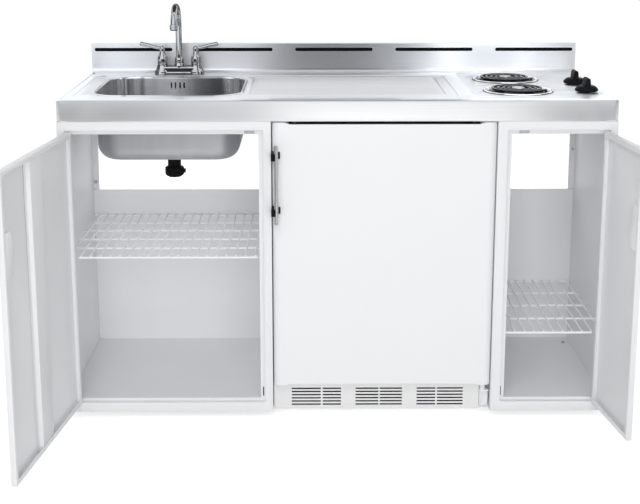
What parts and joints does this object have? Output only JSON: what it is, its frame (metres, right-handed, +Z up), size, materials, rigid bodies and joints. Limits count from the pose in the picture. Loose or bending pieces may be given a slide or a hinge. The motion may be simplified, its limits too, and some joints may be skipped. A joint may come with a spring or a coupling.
{
  "type": "compact kitchen unit",
  "caption": "Compact kitchen unit: pressed steel worktop with sink, tap, drainer and coil burners over sheet-metal cupboards and a built-in fridge.",
  "frame": {"origin": "on the floor, under the middle of the overall box with both cupboard doors open", "axes": "+X to the right along the unit's length, +Y towards the wall behind it, +Z up"},
  "size_m": [1.5728, 1.1598, 1.1381],
  "materials": {
    "brushed_steel": "satin, brushed along the length",
    "chrome": "polished",
    "black_plastic": "satin",
    "coil_black": "matt, heat-blackened",
    "zinc_steel": "zinc plated",
    "white_enamel": "semi-gloss powder coat",
    "white_wire": "plastic-dipped wire",
    "white_plastic": "satin moulding",
    "fridge_white": "gloss enamel on sheet over foam",
    "handle_steel": "satin bar on black posts",
    "compressor_black": "black enamel",
    "gasket": "soft, matt"
  },
  "bodies": {
    "root": {"worktop": "brushed_steel", "backsplash": "brushed_steel", "sink_bowl": "brushed_steel", "sink_strainer": "chrome", "tap_body": "chrome", "drip_bowl_front": "chrome", "drip_bowl_rear": "chrome", "drain_tailpiece": "black_plastic", "drain_nut": "black_plastic", "burner_coil_front": "coil_black", "burner_coil_rear": "coil_black", "burner_spider_front": "zinc_steel", "burner_spider_rear": "zinc_steel", "burner_switch_front": "zinc_steel", "burner_switch_rear": "zinc_steel", "hob_underpan": "zinc_steel", "left_catch": "zinc_steel", "right_catch": "zinc_steel", "fridge_hinge_upper": "zinc_steel", "fridge_freezer_box": "zinc_steel", "left_face_frame": "white_enamel", "left_cupboard_side_a": "white_enamel", "left_cupboard_side_b": "white_enamel", "left_cupboard_floor": "white_enamel", "left_cupboard_back": "white_enamel", "left_shelf": "white_wire", "left_hinge_upper_frame": "zinc_steel", "left_hinge_lower_frame": "zinc_steel", "right_face_frame": "white_enamel", "right_cupboard_side_a": "white_enamel", "right_cupboard_side_b": "white_enamel", "right_cupboard_floor": "white_enamel", "right_cupboard_back": "white_enamel", "right_shelf": "white_wire", "right_hinge_upper_frame": "zinc_steel", "right_hinge_lower_frame": "zinc_steel", "fridge_hinge_lower": "white_enamel", "fridge_body": "fridge_white", "fridge_liner": "white_plastic", "fridge_shelf": "white_plastic", "fridge_kick_grille": "white_plastic", "fridge_compressor": "compressor_black"},
    "left_door": {"left_door": "white_enamel", "left_door_pull": "white_plastic", "left_door_stiffener": "white_enamel", "left_hinge_upper_door": "zinc_steel", "left_hinge_lower_door": "zinc_steel"},
    "right_door": {"right_door": "white_enamel", "right_door_pull": "white_plastic", "right_hinge_upper_door": "zinc_steel", "right_hinge_lower_door": "zinc_steel"},
    "fridge_door": {"fridge_door": "fridge_white", "fridge_door_liner": "white_plastic", "fridge_gasket": "gasket", "fridge_handle": "handle_steel"},
    "tap_spout": {"tap_spout": "chrome"},
    "tap_handle_hot": {"tap_handle_hot": "chrome"},
    "tap_handle_cold": {"tap_handle_cold": "chrome"},
    "knob_front": {"knob_front": "black_plastic"},
    "knob_rear": {"knob_rear": "black_plastic"}
  },
  "joints": [
    {"name": "left_door_hinge", "type": "hinge", "parent": "root", "child": "left_door", "pos_m": [-0.72484, -0.04696, 0.44], "axis": [0, 0, 1], "range_deg": [-18, 97]},
    {"name": "right_door_hinge", "type": "hinge", "parent": "root", "child": "right_door", "pos_m": [0.75646, -0.04696, 0.44], "axis": [0, 0, 1], "range_deg": [-97, 18]},
    {"name": "fridge_door_hinge", "type": "hinge", "parent": "root", "child": "fridge_door", "pos_m": [0.43026, -0.02596, 0.475], "axis": [0, 0, 1], "range_deg": [0, 92]},
    {"name": "tap_spout_swivel", "type": "hinge", "parent": "root", "child": "tap_spout", "pos_m": [-0.46569, 0.50114, 0.95], "axis": [0, 0, 1], "range_deg": [-90, 90]},
    {"name": "tap_hot_turn", "type": "hinge", "parent": "root", "child": "tap_handle_hot", "pos_m": [-0.51769, 0.50114, 0.95], "axis": [0, 0, 1], "range_deg": [0, 90]},
    {"name": "tap_cold_turn", "type": "hinge", "parent": "root", "child": "tap_handle_cold", "pos_m": [-0.41369, 0.50114, 0.95], "axis": [0, 0, 1], "range_deg": [-90, 0]},
    {"name": "knob_front_turn", "type": "hinge", "parent": "root", "child": "knob_front", "pos_m": [0.71981, 0.11104, 0.92], "axis": [0, 0, 1], "continuous": true},
    {"name": "knob_rear_turn", "type": "hinge", "parent": "root", "child": "knob_rear", "pos_m": [0.71981, 0.27604, 0.92], "axis": [0, 0, 1], "continuous": true}
  ]
}
